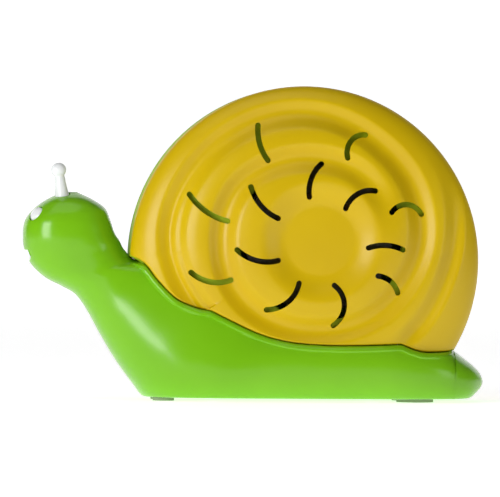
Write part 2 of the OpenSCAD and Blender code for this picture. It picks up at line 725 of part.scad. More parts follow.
// The blade lies under the guide's front edge, its teeth ahead of it
module on_guide(x, z) {
    translate([guide_front[0], 0, guide_front[1]] + x * [guide_dir[0], 0, guide_dir[1]]
        + z * [guide_up[0], 0, guide_up[1]]) rotate([0, -atan2(guide_dir[1], guide_dir[0]), 0]) children();
}

module cutter_blade() {
    pitch = tape_w / TEETH;
    color("silver") difference() {
        on_guide(-blade_l, -guide_t) linear_extrude(blade_t) union() {
            translate([0, -tape_w / 2]) square([blade_l, tape_w]);
            for (k = [0:TEETH - 1]) translate([blade_l, -tape_w / 2 + k * pitch])
                polygon([[0, 0], [tooth_h, pitch / 2], [0, pitch]]);
        }
        rivet_places() rivet_hole();
    }
}

module rivet_hole() {
    translate([0, 0, -10]) cylinder(r = rivet_r, h = 20);
}

module blade_rivets() {
    color("gray") rivet_places() cylinder(r = rivet_r, h = 1);
}

module ballast() {
    color("slategray") rounded_plate(ballast_l, ballast_w, ballast_corner, foot_gap + plate_t, ballast_h);
}

module base_plate() {
    color("yellowgreen") difference() {
        rounded_plate(plate_l, plate_w, plate_corner, foot_gap, plate_t);
        for (s = [0, 1]) mirror([0, s, 0]) base_boss_places() {
            translate([0, 0, -1]) cylinder(d = screw_d + 4 * fit_gap, h = 10);
            translate([0, 0, foot_gap - 1]) cylinder(d = 2 * (screw_d + fit_gap), h = 1 + fit_gap + screw_head_t);
        }
    }
}

// A screw whose head starts at the origin
module screw(l) {
    cylinder(d = 2 * screw_d, h = screw_head_t);
    cylinder(d = screw_d, h = l);
}

module base_screws() {
    color("silver") for (s = [0, 1]) mirror([0, s, 0]) base_boss_places()
        translate([0, 0, foot_gap + fit_gap]) screw(plate_t + boss_h - 3);
}

module housing_screws() {
    color("silver") pillar_places() translate([0, head_seat + screw_head_t, 0]) rotate([90, 0, 0])
        screw(head_seat + screw_head_t + thread_reach - 1);
}

module pads(p) {
    color("gainsboro") for (s = [0, 1]) mirror([0, s, 0]) translate([p[0], p[1], 0])
        cylinder(d = p[2], h = pad_t);
}

module front_feet() {
    pads(front_pad);
}

module rear_feet() {
    pads(rear_pad);
}

body_near();
body_far();
near_housing();
far_housing();
near_shell_cover();
far_shell_cover();
near_eye();
far_eye();
near_feeler();
far_feeler();
spindle();
spindle_clip();
drag_washer();
tape_hub();
tape_core();
tape_roll();
tape_lead();
guide_roller();
roller_pin();
mouth_guide();
cutter_blade();
blade_rivets();
ballast();
base_plate();
base_screws();
housing_screws();
front_feet();
rear_feet();
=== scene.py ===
"""Looks of the snail-shaped tape dispenser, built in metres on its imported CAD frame."""

import json
import logging
import math
from dataclasses import dataclass
from enum import Enum

import bpy
import numpy as np
from mathutils import Matrix, Quaternion, Vector

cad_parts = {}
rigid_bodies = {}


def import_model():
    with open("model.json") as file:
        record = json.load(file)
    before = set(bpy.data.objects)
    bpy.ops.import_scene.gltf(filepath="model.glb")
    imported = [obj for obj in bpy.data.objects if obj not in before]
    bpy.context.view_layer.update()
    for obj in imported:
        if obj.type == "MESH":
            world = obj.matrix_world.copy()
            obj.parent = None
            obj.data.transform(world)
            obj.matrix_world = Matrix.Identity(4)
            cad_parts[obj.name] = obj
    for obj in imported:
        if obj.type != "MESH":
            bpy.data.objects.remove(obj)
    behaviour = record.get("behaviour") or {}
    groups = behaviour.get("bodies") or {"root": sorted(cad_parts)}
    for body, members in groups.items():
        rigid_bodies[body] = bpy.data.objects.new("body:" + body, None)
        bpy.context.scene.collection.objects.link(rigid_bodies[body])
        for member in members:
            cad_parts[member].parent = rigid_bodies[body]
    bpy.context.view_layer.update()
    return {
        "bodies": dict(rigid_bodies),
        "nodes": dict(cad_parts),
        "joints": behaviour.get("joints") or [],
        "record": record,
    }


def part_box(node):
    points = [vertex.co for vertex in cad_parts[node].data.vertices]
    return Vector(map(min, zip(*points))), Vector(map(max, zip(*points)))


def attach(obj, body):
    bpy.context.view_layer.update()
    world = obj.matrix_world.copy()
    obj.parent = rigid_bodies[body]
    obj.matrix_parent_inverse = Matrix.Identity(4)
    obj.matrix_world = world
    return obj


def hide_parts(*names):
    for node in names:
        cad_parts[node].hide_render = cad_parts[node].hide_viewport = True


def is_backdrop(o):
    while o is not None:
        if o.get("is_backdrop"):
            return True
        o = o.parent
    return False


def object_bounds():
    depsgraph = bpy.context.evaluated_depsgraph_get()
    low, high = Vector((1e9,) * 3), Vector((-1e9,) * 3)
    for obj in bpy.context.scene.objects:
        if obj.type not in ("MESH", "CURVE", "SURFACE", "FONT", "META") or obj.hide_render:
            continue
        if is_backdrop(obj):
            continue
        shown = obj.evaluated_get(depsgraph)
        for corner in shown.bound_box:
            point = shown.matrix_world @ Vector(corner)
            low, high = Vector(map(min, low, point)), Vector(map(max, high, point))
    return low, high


MM = 0.001
LOG = logging.getLogger("snail")


# ---------------------------------------------------------------- curves


def catmull(points: np.ndarray, where: np.ndarray) -> np.ndarray:
    """Reads a smooth curve through given points.

    Args:
        points: the points, one a row, or plain numbers.
        where: places on the curve, counted in points from the first.

    Returns:
        The curve's value at each place.
    """
    last = len(points) - 1
    i = np.clip(np.floor(where).astype(int), 0, last - 1)
    t = where - i
    if points.ndim > 1:
        t = t[:, None]
    a, b = points[np.maximum(i - 1, 0)], points[i]
    c, d = points[i + 1], points[np.minimum(i + 2, last)]
    return 0.5 * (
        2 * b
        + (c - a) * t
        + (2 * a - 5 * b + 4 * c - d) * t**2
        + (3 * b - a - 3 * c + d) * t**3
    )


def smoothstep(value: np.ndarray, low: float, high: float) -> np.ndarray:
    """Returns a smooth rise from 0 at low to 1 at high."""
    t = np.clip((value - low) / (high - low), 0, 1)
    return t * t * (3 - 2 * t)


def bump(value: np.ndarray) -> np.ndarray:
    """Returns a smooth hump of height 1 that ends at -1 and 1."""
    return np.clip(1 - value**2, 0, 1) ** 2


def power(value: np.ndarray, exponent: float) -> np.ndarray:
    """Returns the signed power of each value."""
    return np.sign(value) * np.abs(value) ** exponent


# ---------------------------------------------------------------- modelling


def clear_selection() -> None:
    """Leaves every object unselected, in object mode."""
    if bpy.context.object and bpy.context.object.mode != "OBJECT":
        bpy.ops.object.mode_set(mode="OBJECT")
    bpy.ops.object.select_all(action="DESELECT")


def pick(obj: bpy.types.Object) -> None:
    """Makes one object the only selected and active one."""
    clear_selection()
    obj.select_set(True)
    bpy.context.view_layer.objects.active = obj


def added(name: str) -> bpy.types.Object:
    """Names the primitive just added, and returns it."""
    obj = bpy.context.object
    obj.name = obj.data.name = name
    return obj


def grid_sheet(name: str, lattice: np.ndarray, closed: bool) -> bpy.types.Object:
    """Lays a grid primitive over a lattice of places.

    Args:
        name: the piece's name.
        lattice: rows by columns by 3, in metres.
        closed: whether the sheet closes on itself, so that its ends are merged.

    Returns:
        The new mesh object, with its normals outwards when it is closed.
    """
    rows, cols = lattice.shape[:2]
    clear_selection()
    bpy.ops.mesh.primitive_grid_add(x_subdivisions=rows - 1, y_subdivisions=cols - 1, size=1)
    obj = added(name)
    co = np.zeros(len(obj.data.vertices) * 3)
    obj.data.vertices.foreach_get("co", co)
    co = co.reshape(-1, 3)
    i = np.rint((co[:, 0] + 0.5) * (rows - 1)).astype(int)
    k = np.rint((co[:, 1] + 0.5) * (cols - 1)).astype(int)
    obj.data.vertices.foreach_set("co", lattice[i, k].astype(float).ravel())
    obj.data.update()
    if closed:
        bpy.ops.object.mode_set(mode="EDIT")
        bpy.ops.mesh.select_all(action="SELECT")
        bpy.ops.mesh.remove_doubles(threshold=0.004 * MM)
        bpy.ops.mesh.normals_make_consistent(inside=False)
        bpy.ops.object.mode_set(mode="OBJECT")
    return obj


def prism(name: str, outline: np.ndarray, depth: Vector) -> bpy.types.Object:
    """Extrudes a closed outline.

    Args:
        name: the piece's name.
        outline: the outline's points, in metres.
        depth: the way and the distance it is extruded.

    Returns:
        The new closed mesh object.
    """
    clear_selection()
    bpy.ops.mesh.primitive_circle_add(vertices=len(outline), radius=1, fill_type="NGON")
    obj = added(name)
    obj.data.vertices.foreach_set("co", np.asarray(outline, float).ravel())
    obj.data.update()
    bpy.ops.object.mode_set(mode="EDIT")
    bpy.ops.mesh.select_all(action="SELECT")
    bpy.ops.mesh.extrude_region_move(TRANSFORM_OT_translate={"value": depth})
    bpy.ops.mesh.select_all(action="SELECT")
    bpy.ops.mesh.normals_make_consistent(inside=False)
    bpy.ops.object.mode_set(mode="OBJECT")
    return obj


def turned(name: str, profile: list[tuple[float, float]], steps: int = 64) -> bpy.types.Object:
    """Spins a profile about Z.

    Args:
        name: the piece's name.
        profile: radius and height of each point, in metres, from the axis back to the axis.
        steps: faces round the turn.

    Returns:
        The new closed mesh object.
    """
    clear_selection()
    bpy.ops.mesh.primitive_circle_add(vertices=len(profile), radius=1)
    obj = added(name)
    co = np.array([(r, 0.0, z) for r, z in profile])
    obj.data.vertices.foreach_set("co", co.ravel())
    obj.data.update()
    bpy.ops.object.mode_set(mode="EDIT")
    bpy.ops.mesh.select_all(action="SELECT")
    bpy.ops.mesh.spin(steps=steps, angle=math.tau, center=(0, 0, 0), axis=(0, 0, 1))
    bpy.ops.mesh.select_all(action="SELECT")
    bpy.ops.mesh.remove_doubles(threshold=0.002 * MM)
    bpy.ops.mesh.delete_loose()
    bpy.ops.mesh.select_all(action="SELECT")
    bpy.ops.mesh.normals_make_consistent(inside=False)
    bpy.ops.object.mode_set(mode="OBJECT")
    return obj


def modify(obj: bpy.types.Object, kind: str, **settings: object) -> None:
    """Adds a modifier with its settings and applies it."""
    pick(obj)
    modifier = obj.modifiers.new(kind.title(), kind)
    for key, value in settings.items():
        setattr(modifier, key, value)
    bpy.ops.object.modifier_apply(modifier=modifier.name)


def carve(obj: bpy.types.Object, cutters: list[bpy.types.Object]) -> None:
    """Cuts closed shapes out of a piece, and removes the cutters."""
    for cutter in cutters:
        modify(obj, "BOOLEAN", object=cutter, operation="DIFFERENCE", solver="EXACT")
        bpy.data.objects.remove(cutter)


def joined(name: str, pieces: list[bpy.types.Object]) -> bpy.types.Object:
    """Joins pieces into one object and returns it."""
    clear_selection()
    for piece in pieces:
        piece.select_set(True)
    bpy.context.view_layer.objects.active = pieces[0]
    bpy.ops.object.join()
    return added(name)


def settle(obj: bpy.types.Object) -> bpy.types.Object:
    """Puts an object's place into its mesh, and returns it."""
    pick(obj)
    bpy.ops.object.transform_apply(location=True, rotation=True, scale=True)
    return obj


def smooth(obj: bpy.types.Object, angle: float = 34) -> bpy.types.Object:
    """Shades a piece smooth, but for edges sharper than an angle in degrees."""
    pick(obj)
    bpy.ops.object.shade_smooth_by_angle(angle=math.radians(angle))
    return obj


def mirrored(obj: bpy.types.Object, name: str) -> bpy.types.Object:
    """Copies a near piece to the far side, with its own mesh.

    Args:
        obj: the near piece, in place.
        name: the far piece's name.

    Returns:
        The far piece, its faces outwards.
    """
    copy = obj.copy()
    copy.data = obj.data.copy()
    copy.name = copy.data.name = name
    bpy.context.scene.collection.objects.link(copy)
    copy.data.transform(Matrix.Scale(-1, 4, Vector((0, 1, 0))))
    pick(copy)
    bpy.ops.object.mode_set(mode="EDIT")
    bpy.ops.mesh.select_all(action="SELECT")
    bpy.ops.mesh.flip_normals()
    bpy.ops.object.mode_set(mode="OBJECT")
    return copy


# ---------------------------------------------------------------- finishes


def linear(code: str) -> tuple[float, float, float, float]:
    """Turns an sRGB hex colour to linear."""
    parts = [int(code[i : i + 2], 16) / 255 for i in (1, 3, 5)]
    r, g, b = (p / 12.92 if p <= 0.04045 else ((p + 0.055) / 1.055) ** 2.4 for p in parts)
    return (r, g, b, 1.0)


def node(
    tree: bpy.types.NodeTree, kind: str, settings: dict | None = None, links: dict | None = None
) -> bpy.types.Node:
    """Adds a shader node.

    Args:
        tree: the material's tree.
        kind: the node's type.
        settings: values, by the node's own property or its input's name or number.
        links: output sockets, by the input's name or number.

    Returns:
        The new node.
    """
    new = tree.nodes.new(kind)
    for key, value in (settings or {}).items():
        if isinstance(key, str) and hasattr(new, key):
            setattr(new, key, value)
        else:
            new.inputs[key].default_value = value
    for key, socket in (links or {}).items():
        tree.links.new(socket, new.inputs[key])
    return new


class Grain(Enum):
    """How a surface's fine pattern runs."""

    EVEN = "even"
    TURNED = "turned"
    FELTED = "felted"
    WOUND = "wound"


@dataclass(frozen=True)
class Finish:
    """A material: its colours, its gloss, and the pattern that its making left.

    patch is the size of the slow changes of colour and grit that of the fine ones, both in
    millimetres. relief is the height of the fine ones, in millimetres.
    """

    name: str
    colour: str
    shade: str
    roughness: float
    spread: float = 0.05
    patch: float = 18.0
    grit: float = 0.6
    relief: float = 0.01
    ior: float = 1.5
    metallic: float = 0.0
    coat: float = 0.0
    coat_roughness: float = 0.1
    sheen: float = 0.0
    specular: float = 0.5
    glow: float = 0.0
    grain: Grain = Grain.EVEN
    centre: tuple[float, float, float] = (0.0, 0.0, 0.0)

    def material(self) -> bpy.types.Material:
        """Builds the material's nodes, and returns it."""
        mat = bpy.data.materials.new(self.name)
        mat.use_nodes = True
        tree = mat.node_tree
        tree.nodes.clear()
        place = node(tree, "ShaderNodeTexCoord").outputs["Object"]
        place = node(
            tree,
            "ShaderNodeMapping",
            {"Location": tuple(-c for c in self.centre)},
            {"Vector": place},
        ).outputs["Vector"]
        broad = node(
            tree,
            "ShaderNodeTexNoise",
            {"Scale": 1 / (self.patch * MM), "Detail": 3.0, "Roughness": 0.5},
            {"Vector": place},
        ).outputs[0]
        fine = self.pattern(tree, place)
        colour = node(
            tree,
            "ShaderNodeValToRGB",
            {},
            {"Fac": broad},
        )
        colour.color_ramp.elements[0].position = 0.3
        colour.color_ramp.elements[0].color = linear(self.shade)
        colour.color_ramp.elements[1].position = 0.7
        colour.color_ramp.elements[1].color = linear(self.colour)
        mixed = node(tree, "ShaderNodeMath", {"operation": "ADD"}, {0: broad, 1: fine})
        rough = node(
            tree,
            "ShaderNodeMapRange",
            {
                "From Min": 0.6,
                "From Max": 1.4,
                "To Min": self.roughness - self.spread,
                "To Max": self.roughness + self.spread,
            },
            {"Value": mixed.outputs[0]},
        )
        height = node(
            tree,
            "ShaderNodeBump",
            {"Strength": 1.0, "Distance": self.relief * MM},
            {"Height": fine},
        )
        shader = node(
            tree,
            "ShaderNodeBsdfPrincipled",
            {
                "IOR": self.ior,
                "Metallic": self.metallic,
                "Coat Weight": self.coat,
                "Coat Roughness": self.coat_roughness,
                "Sheen Weight": self.sheen,
                "Specular IOR Level": self.specular,
                "Emission Strength": self.glow,
            },
            {
                "Base Color": colour.outputs["Color"],
                "Roughness": rough.outputs["Result"],
                "Normal": height.outputs["Normal"],
            },
        )
        shader.inputs["Emission Color"].default_value = (1, 1, 1, 1)
        node(tree, "ShaderNodeOutputMaterial", {}, {"Surface": shader.outputs["BSDF"]})
        return mat

    def pattern(
        self, tree: bpy.types.NodeTree, place: bpy.types.NodeSocket
    ) -> bpy.types.NodeSocket:
        """Adds the fine pattern.

        Args:
            tree: the material's tree.
            place: where a point is, in metres from the pattern's centre.

        Returns:
            The socket that carries the pattern's height, 0 to 1.
        """
        scale = 1 / (self.grit * MM)
        if self.grain in (Grain.TURNED, Grain.WOUND):
            return node(
                tree,
                "ShaderNodeTexWave",
                {
                    "wave_type": "RINGS",
                    "rings_direction": "Y",
                    "Scale": scale / 20,
                    "Distortion": 0.4 if self.grain is Grain.TURNED else 1.2,
                    "Detail": 2.0,
                    "Detail Scale": 3.0,
                },
                {"Vector": place},
            ).outputs[1]
        if self.grain is Grain.FELTED:
            return node(
                tree,
                "ShaderNodeTexVoronoi",
                {"feature": "F1", "Scale": scale},
                {"Vector": place},
            ).outputs["Distance"]
        return node(
            tree,
            "ShaderNodeTexNoise",
            {"Scale": scale, "Detail": 2.0, "Roughness": 0.6},
            {"Vector": place},
        ).outputs[0]


def dress(obj: bpy.types.Object, mat: bpy.types.Material) -> None:
    """Gives an object one material."""
    obj.data.materials.clear()
    obj.data.materials.append(mat)


def finishes(hub: Vector, roller: Vector) -> dict[str, bpy.types.Material]:
    """Builds the object's materials.

    Args:
        hub: the roll's axis.
        roller: the guide roller's axis.

    Returns:
        The materials, by the record's slot.
    """
    at_hub, at_roller = tuple(hub), tuple(roller)
    table = {
        # Injection-moulded ABS from a polished tool: deep colour, clear but soft reflections
        "green_body": Finish("abs_green_polished", "#7EC414", "#77BC0E", 0.2, 0.03, 30, 0.9,
                             0.005, specular=0.42),
        # The same plastic from a finely textured tool: broad, satin highlights
        "yellow_cover": Finish("abs_yellow_satin", "#DEBC00", "#D6B200", 0.34, 0.04, 34, 0.7,
                               0.008, specular=0.34),
        # White ABS, polished: nearly shadowless, small clear highlights
        "white_trim": Finish("abs_white_polished", "#FBFDFD", "#F6F9F9", 0.16, 0.03, 9, 0.7, 0.004),
        # Ground steel pin: fine rings round its length
        "steel_pin": Finish(
            "steel_ground", "#B9BBBD", "#A5A7AA", 0.28, 0.08, 6, 0.25, 0.004, metallic=1.0,
            grain=Grain.TURNED, centre=at_hub),
        # Blued spring steel: dark, slightly blue, with a soft shine
        "spring_clip": Finish(
            "spring_steel_blued", "#3B3F47", "#2C2F36", 0.38, 0.08, 4, 0.3, 0.004, metallic=1.0),
        # Wool felt: matt, fuzzy, with short fibres
        "felt_washer": Finish(
            "wool_felt_grey", "#6E6A66", "#5B5753", 0.95, 0.04, 3, 0.35, 0.12, sheen=0.5,
            specular=0.2, grain=Grain.FELTED),
        # Natural polystyrene: milky, a little translucent-looking, half gloss
        "natural_hub": Finish("polystyrene_natural", "#D9DACB", "#CFCFBE", 0.32, 0.05, 8, 0.5,
                              0.006),
        # Wound grey board: matt with faint rings
        "paper_core": Finish(
            "paper_board_wound", "#A88B62", "#977A53", 0.88, 0.06, 4, 0.9, 0.03, specular=0.25,
            grain=Grain.WOUND, centre=at_hub),
        # Many turns of clear film: amber, with fine rings on its side; the colour is darker than
        # the film's own amber, painted shade for the inner vent slots that look onto the roll
        "clear_tape": Finish(
            "tape_film_amber_painted_shade", "#857B3A", "#74692C", 0.3, 0.06, 5, 1.1, 0.02, ior=1.49,
            coat=0.4, grain=Grain.WOUND, centre=at_hub),
        # Bright blade steel, rolled: clear reflections with faint lines
        "blade_steel": Finish("blade_steel_bright", "#C9CCCF", "#B7BABD", 0.2, 0.05, 5, 0.3, 0.003,
                              metallic=1.0),
        # Sand-cast grey iron: rough, dark, pitted
        "ballast_iron": Finish("iron_sand_cast", "#4A4A4B", "#3A3A3B", 0.75, 0.12, 5, 0.8, 0.18,
                               metallic=0.7),
        # Zinc-plated steel: pale blue-grey with small cloudy spangle
        "zinc_screws": Finish("zinc_plated_steel", "#C0C6CB", "#A9B0B6", 0.34, 0.1, 2.5, 0.4, 0.006,
                              metallic=1.0),
        # Moulded rubber: grey-green, matt with a fine grain
        "rubber_feet": Finish("rubber_grey_green", "#97A385", "#8B9779", 0.72, 0.08, 4, 0.35, 0.03,
                              ior=1.52),
    }
    made = {slot: finish.material() for slot, finish in table.items()}
    # The body's plastic inside the shell, matt as a spark-eroded tool leaves it; its lighter,
    # yellower green than the body's is painted light, so the housing seen through the vent slots
    # reads lit though it sits in their shade
    made["housing"] = Finish(
        "abs_green_painted_light", "#AFCE1E", "#A6C418", 0.6, 0.05, 24, 0.5, 0.02, specular=0.2).material()
    made["roller"] = Finish(
        "polystyrene_turned", "#D9DACB", "#CFCFBE", 0.3, 0.05, 6, 0.5, 0.006,
        grain=Grain.TURNED, centre=at_roller).material()
    return made


# ---------------------------------------------------------------- the object's plan


@dataclass
class Plan:
    """Where things are, in millimetres, read off the frame, with the moulding's own sizes."""

    shell_r: float
    shell: tuple[float, float]
    hub: tuple[float, float]
    nose_x: float
    tail_x: float
    band_half: float = 10.5
    dome_h: float = 25.0
    head_d: float = 28.6
    neck_w: float = 27.0
    foot_w: float = 50.0
    foot_gap: float = 1.0
    head_rise: float = 7.0

    @property
    def head_r(self) -> float:
        """Returns the head's radius."""
        return self.head_d / 2

    @property
    def head(self) -> tuple[float, float]:
        """Returns the head's centre."""
        return (self.nose_x + self.head_r, self.shell[1] + self.head_rise)

    @classmethod
    def read(cls) -> "Plan":
        """Reads the frame's boxes, and returns the plan."""
        low, high = (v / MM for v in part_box("near_housing"))
        hub_low, hub_high = (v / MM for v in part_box("tape_hub"))
        whole_low, whole_high = (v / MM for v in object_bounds())
        radius = (high.x - low.x) / 2
        return cls(
            shell_r=radius,
            shell=((low.x + high.x) / 2, high.z - radius),
            hub=((hub_low.x + hub_high.x) / 2, (hub_low.z + hub_high.z) / 2),
            nose_x=whole_low.x,
            tail_x=whole_high.x,
        )

    def seam(self, gap: float = 0.0) -> np.ndarray:
        """Returns the seam between cover and body, left to right, lifted by a gap."""
        scallops = (
            [(-1.0, 0.02), (-0.92, -0.025), (-0.845, -0.12), (-0.745, -0.22), (-0.64, -0.27),
             (-0.55, -0.29)],
            [(-0.54, -0.292), (-0.425, -0.35), (-0.27, -0.42), (-0.1, -0.465), (0.1, -0.482),
             (0.3, -0.483), (0.54, -0.475)],
            [(0.55, -0.476), (0.62, -0.505), (0.69, -0.52), (0.8, -0.517), (0.863, -0.505)],
        )
        parts = []
        for points in scallops:
            shares = np.array(points)
            parts.append(catmull(shares, np.linspace(0, len(shares) - 1, 12 * len(shares))))
        line = np.concatenate(parts) * self.shell_r + np.array(self.shell)
        return line + np.array([gap / 2, gap])

    def dome(self, x: np.ndarray, z: np.ndarray) -> np.ndarray:
        """Returns the plain dome's height from the middle plane."""
        q = np.hypot(x - self.shell[0], z - self.shell[1]) / self.shell_r
        fall = np.clip(1 - np.clip(q, 0, 1) ** 2.4, 0, 1) ** 0.56
        return self.band_half + (self.dome_h - self.band_half) * fall


@dataclass
class Relief:
    """The cover's sculpted face: a dished hub, and grooves between the whorls of a spiral."""

    plan: Plan
    dish_share: float = 0.19
    dish_ramp: float = 0.17
    dish_depth: float = 3.2
    dish_shift: tuple[float, float] = (-0.6, -0.9)
    groove_depth: float = 2.4
    groove_half: float = 5.2
    swell_depth: float = 0.8
    swell_half: float = 9.5
    groove_end: float = 572.0
    ridge_height: float = 0.9
    ridge_half: float = 1.7
    ridge_inward: float = 1.2
    outer_depth: float = 1.9
    outer_half: float = 4.0

    def groove_radius(self, turn: np.ndarray) -> np.ndarray:
        """Returns the spiral groove's radius about the hub at each angle in degrees."""
        shares = np.array([
            0.385, 0.405, 0.431, 0.448, 0.494, 0.555, 0.569, 0.572, 0.546, 0.523, 0.529, 0.54,
            0.575, 0.603, 0.632, 0.70, 0.762, 0.816, 0.856, 0.803, 0.75])
        return catmull(shares, np.clip(turn / 30, 0, 19.9)) * self.plan.shell_r

    def outer_groove_radius(self, turn: np.ndarray) -> np.ndarray:
        """Returns the radius of the last, short groove, which starts at the foot's right end."""
        shares = np.array([0.75, 0.748, 0.742, 0.764, 0.80, 0.84])
        return catmull(shares, np.clip((turn - 300) / 20, 0, 4.9)) * self.plan.shell_r

    def height(self, x: np.ndarray, z: np.ndarray) -> np.ndarray:
        """Returns the outer face's distance from the middle plane, in millimetres."""
        hub_x, hub_z = self.plan.hub
        r = np.hypot(x - hub_x, z - hub_z)
        angle = np.degrees(np.arctan2(z - hub_z, x - hub_x)) % 360
        scale = self.plan.shell_r
        out = self.plan.dome(x, z)
        dish_r = np.hypot(x - hub_x - self.dish_shift[0], z - hub_z - self.dish_shift[1])
        ramp = (self.dish_share * scale, (self.dish_share + self.dish_ramp) * scale)
        out = out - self.dish_depth * (1 - smoothstep(dish_r, *ramp))
        for turn in (angle, angle + 360):
            fade = smoothstep(turn, 0, 80) * (turn < self.groove_end)
            off = r - self.groove_radius(turn)
            out = out - self.groove_depth * fade * bump(off / self.groove_half)
            out = out - self.swell_depth * fade * bump(off / self.swell_half)
            ridge = self.ridge_height * smoothstep(turn, 500, 545) * (turn < self.groove_end)
            out = out + ridge * bump((off + self.ridge_inward) / self.ridge_half)
        turn = np.where(angle < 180, angle + 360, angle)
        fade = smoothstep(turn, 302, 318) * (1 - smoothstep(turn, 345, 400))
        off = r - self.outer_groove_radius(turn)
        return out - self.outer_depth * fade * bump(off / self.outer_half)


# ---------------------------------------------------------------- shell covers


@dataclass
class ShellCovers:
    """The two yellow domes: moulded walls with a spiral relief and curved vent slots."""

    plan: Plan
    relief: Relief
    wall: float = 2.0
    gap: float = 0.35
    edge_round: float = 0.7
    slot_w: float = 1.8
    rim_h: float = 1.2
    inset_walls: float = 1.8
    housing_drop: float = 5.3
    inner_lift: float = 0.3
    rays: int = 520
    skin_rings: int = 104
    inner_rings: int = 26

    def edge(self) -> tuple[np.ndarray, np.ndarray, np.ndarray]:
        """Returns, for evenly spaced rays from the hub, their angle, the edge's distance, and
        whether the edge is on the seam (1) or on the rim (0)."""
        seam = self.plan.seam(self.gap)
        centre = np.array(self.plan.shell)
        start, end = seam[-1] - centre, seam[0] - centre
        a0, a1 = math.atan2(start[1], start[0]), math.atan2(end[1], end[0])
        rim_angles = np.linspace(a0, a1, 1500)[1:-1]
        rim = centre + self.plan.shell_r * np.stack([np.cos(rim_angles), np.sin(rim_angles)], 1)
        line = np.concatenate([seam, rim]) - np.array(self.plan.hub)
        on_seam = np.concatenate([np.ones(len(seam)), np.zeros(len(rim))])
        angle = np.arctan2(line[:, 1], line[:, 0]) % math.tau
        order = np.argsort(angle)
        angle, reach, on_seam = angle[order], np.hypot(*line[order].T), on_seam[order]
        rays = np.linspace(0, math.tau, self.rays, endpoint=False)
        return (
            rays,
            np.interp(rays, angle, reach, period=math.tau),
            np.interp(rays, angle, on_seam, period=math.tau),
        )

    def wall_lattice(self) -> np.ndarray:
        """Returns the near cover as rays by profile points, in millimetres: over the outer face
        from the hub to the edge, down the edge, and back under the inner face."""
        rays, reach, on_seam = self.edge()
        hub = np.array(self.plan.hub)
        way = np.stack([np.cos(rays), np.sin(rays)], 1)
        rounding = self.edge_round * on_seam

        def ring(distance: np.ndarray) -> np.ndarray:
            return hub + way * distance[:, None]

        edge_point = ring(reach)
        inside = ring(reach - self.inset_walls * self.wall)
        dished = self.plan.dome(inside[:, 0], inside[:, 1]) - self.housing_drop
        housing = np.maximum(dished, self.plan.band_half)
        floor = np.where(on_seam > 0.5, housing + self.gap, self.plan.band_half)
        columns = []
        for share in 1 - (1 - np.linspace(0, 1, self.skin_rings)) ** 1.7:
            p = ring(reach * share)
            h = np.maximum(self.relief.height(p[:, 0], p[:, 1]), floor + self.rim_h * on_seam)
            near = np.clip(rounding - reach * (1 - share), 0, None)
            h = h - (rounding - np.sqrt(np.clip(rounding**2 - near**2, 0, None)))
            columns.append(np.stack([p[:, 0], -h, p[:, 1]], 1))
        columns.append(np.stack([edge_point[:, 0], -floor, edge_point[:, 1]], 1))
        for share in 1 - (1 - np.linspace(1, 0, self.inner_rings)) ** 1.7:
            p = ring((reach - self.wall) * share)
            under = self.relief.height(p[:, 0], p[:, 1]) - self.wall
            h = np.maximum(under, floor + self.inner_lift)
            if share == 1:
                columns.append(np.stack([p[:, 0], -floor, p[:, 1]], 1))
            columns.append(np.stack([p[:, 0], -h, p[:, 1]], 1))
        lattice = np.stack(columns, 1)
        return np.concatenate([lattice, lattice[:1]])

    def slots(self) -> list[np.ndarray]:
        """Returns the outline of each slot: an arc with round ends."""
        table = (
            (42, 0.408, 52, 0.218, 0.19), (90.5, 0.425, 107.5, 0.247, 0.14),
            (144.5, 0.50, 156, 0.276, 0.12), (188, 0.49, 207, 0.28, 0.13),
            (232.5, 0.515, 243, 0.287, 0.17), (278, 0.50, 285, 0.276, 0.25),
            (352.5, 0.466, 349, 0.27, 0.1), (14, 0.59, 21, 0.425, 0.28),
            (67, 0.644, 72.5, 0.483, 0.27), (119.5, 0.738, 125, 0.54, 0.11),
            (162, 0.793, 170, 0.546, 0.1), (195, 0.77, 205, 0.57, 0.14),
            (325, 0.535, 326.5, 0.382, 0.15),
        )
        outlines = []
        for out_a, out_r, in_a, in_r, bow in table:
            ends = [
                np.array([math.cos(math.radians(a)), math.sin(math.radians(a))]) * r
                for a, r in ((out_a, out_r), (in_a, in_r))
            ]
            p, q = (e * self.plan.shell_r + np.array(self.plan.hub) for e in ends)
            chord = np.linalg.norm(q - p)
            along = (q - p) / chord
            side = np.array([along[1], -along[0]])
            rise = bow * chord
            bend = (chord**2 / 4 + rise**2) / (2 * rise)
            half = math.asin(chord / 2 / bend)
            centre = (p + q) / 2 + side * (rise - bend)
            points = []
            for sign, turn in ((1, 1), (-1, -1)):
                for a in np.linspace(-half, half, 15) * turn:
                    way = along * math.sin(a) + side * math.cos(a)
                    points.append(centre + way * (bend + sign * self.slot_w / 2))
                tip = along * math.sin(half * turn) + side * math.cos(half * turn)
                end = centre + tip * bend
                for b in np.linspace(0, math.pi, 9)[1:-1]:
                    tangent = np.array([tip[1], -tip[0]]) * turn
                    tangent = tangent if np.dot(tangent, along * turn) > 0 else -tangent
                    points.append(
                        end + self.slot_w / 2 * (sign * tip * math.cos(b) + tangent * math.sin(b))
                    )
            outlines.append(np.array(points))
        return outlines

    def build(self, mats: dict[str, bpy.types.Material]) -> None:
        """Builds both covers and puts them on their bodies."""
        near = grid_sheet("near_dome_cover", self.wall_lattice() * MM, closed=True)
        cutters = []
        for i, outline in enumerate(self.slots()):
            flat = np.stack([outline[:, 0], np.full(len(outline), -30.0), outline[:, 1]], 1)
            cutters.append(prism(f"slot_{i}", flat * MM, Vector((0, 22 * MM, 0))))
        carve(near, [joined("slots", cutters)])
        smooth(near, 40)
        dress(near, mats["yellow_cover"])
        far = mirrored(near, "far_dome_cover")
        places = ((near, "cover", "near_shell_cover"), (far, "body", "far_shell_cover"))
        for cover, body, cad in places:
            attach(cover, body)
            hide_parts(cad)
            LOG.info("%s: %d faces", cover.name, len(cover.data.polygons))


# ---------------------------------------------------------------- snail's body


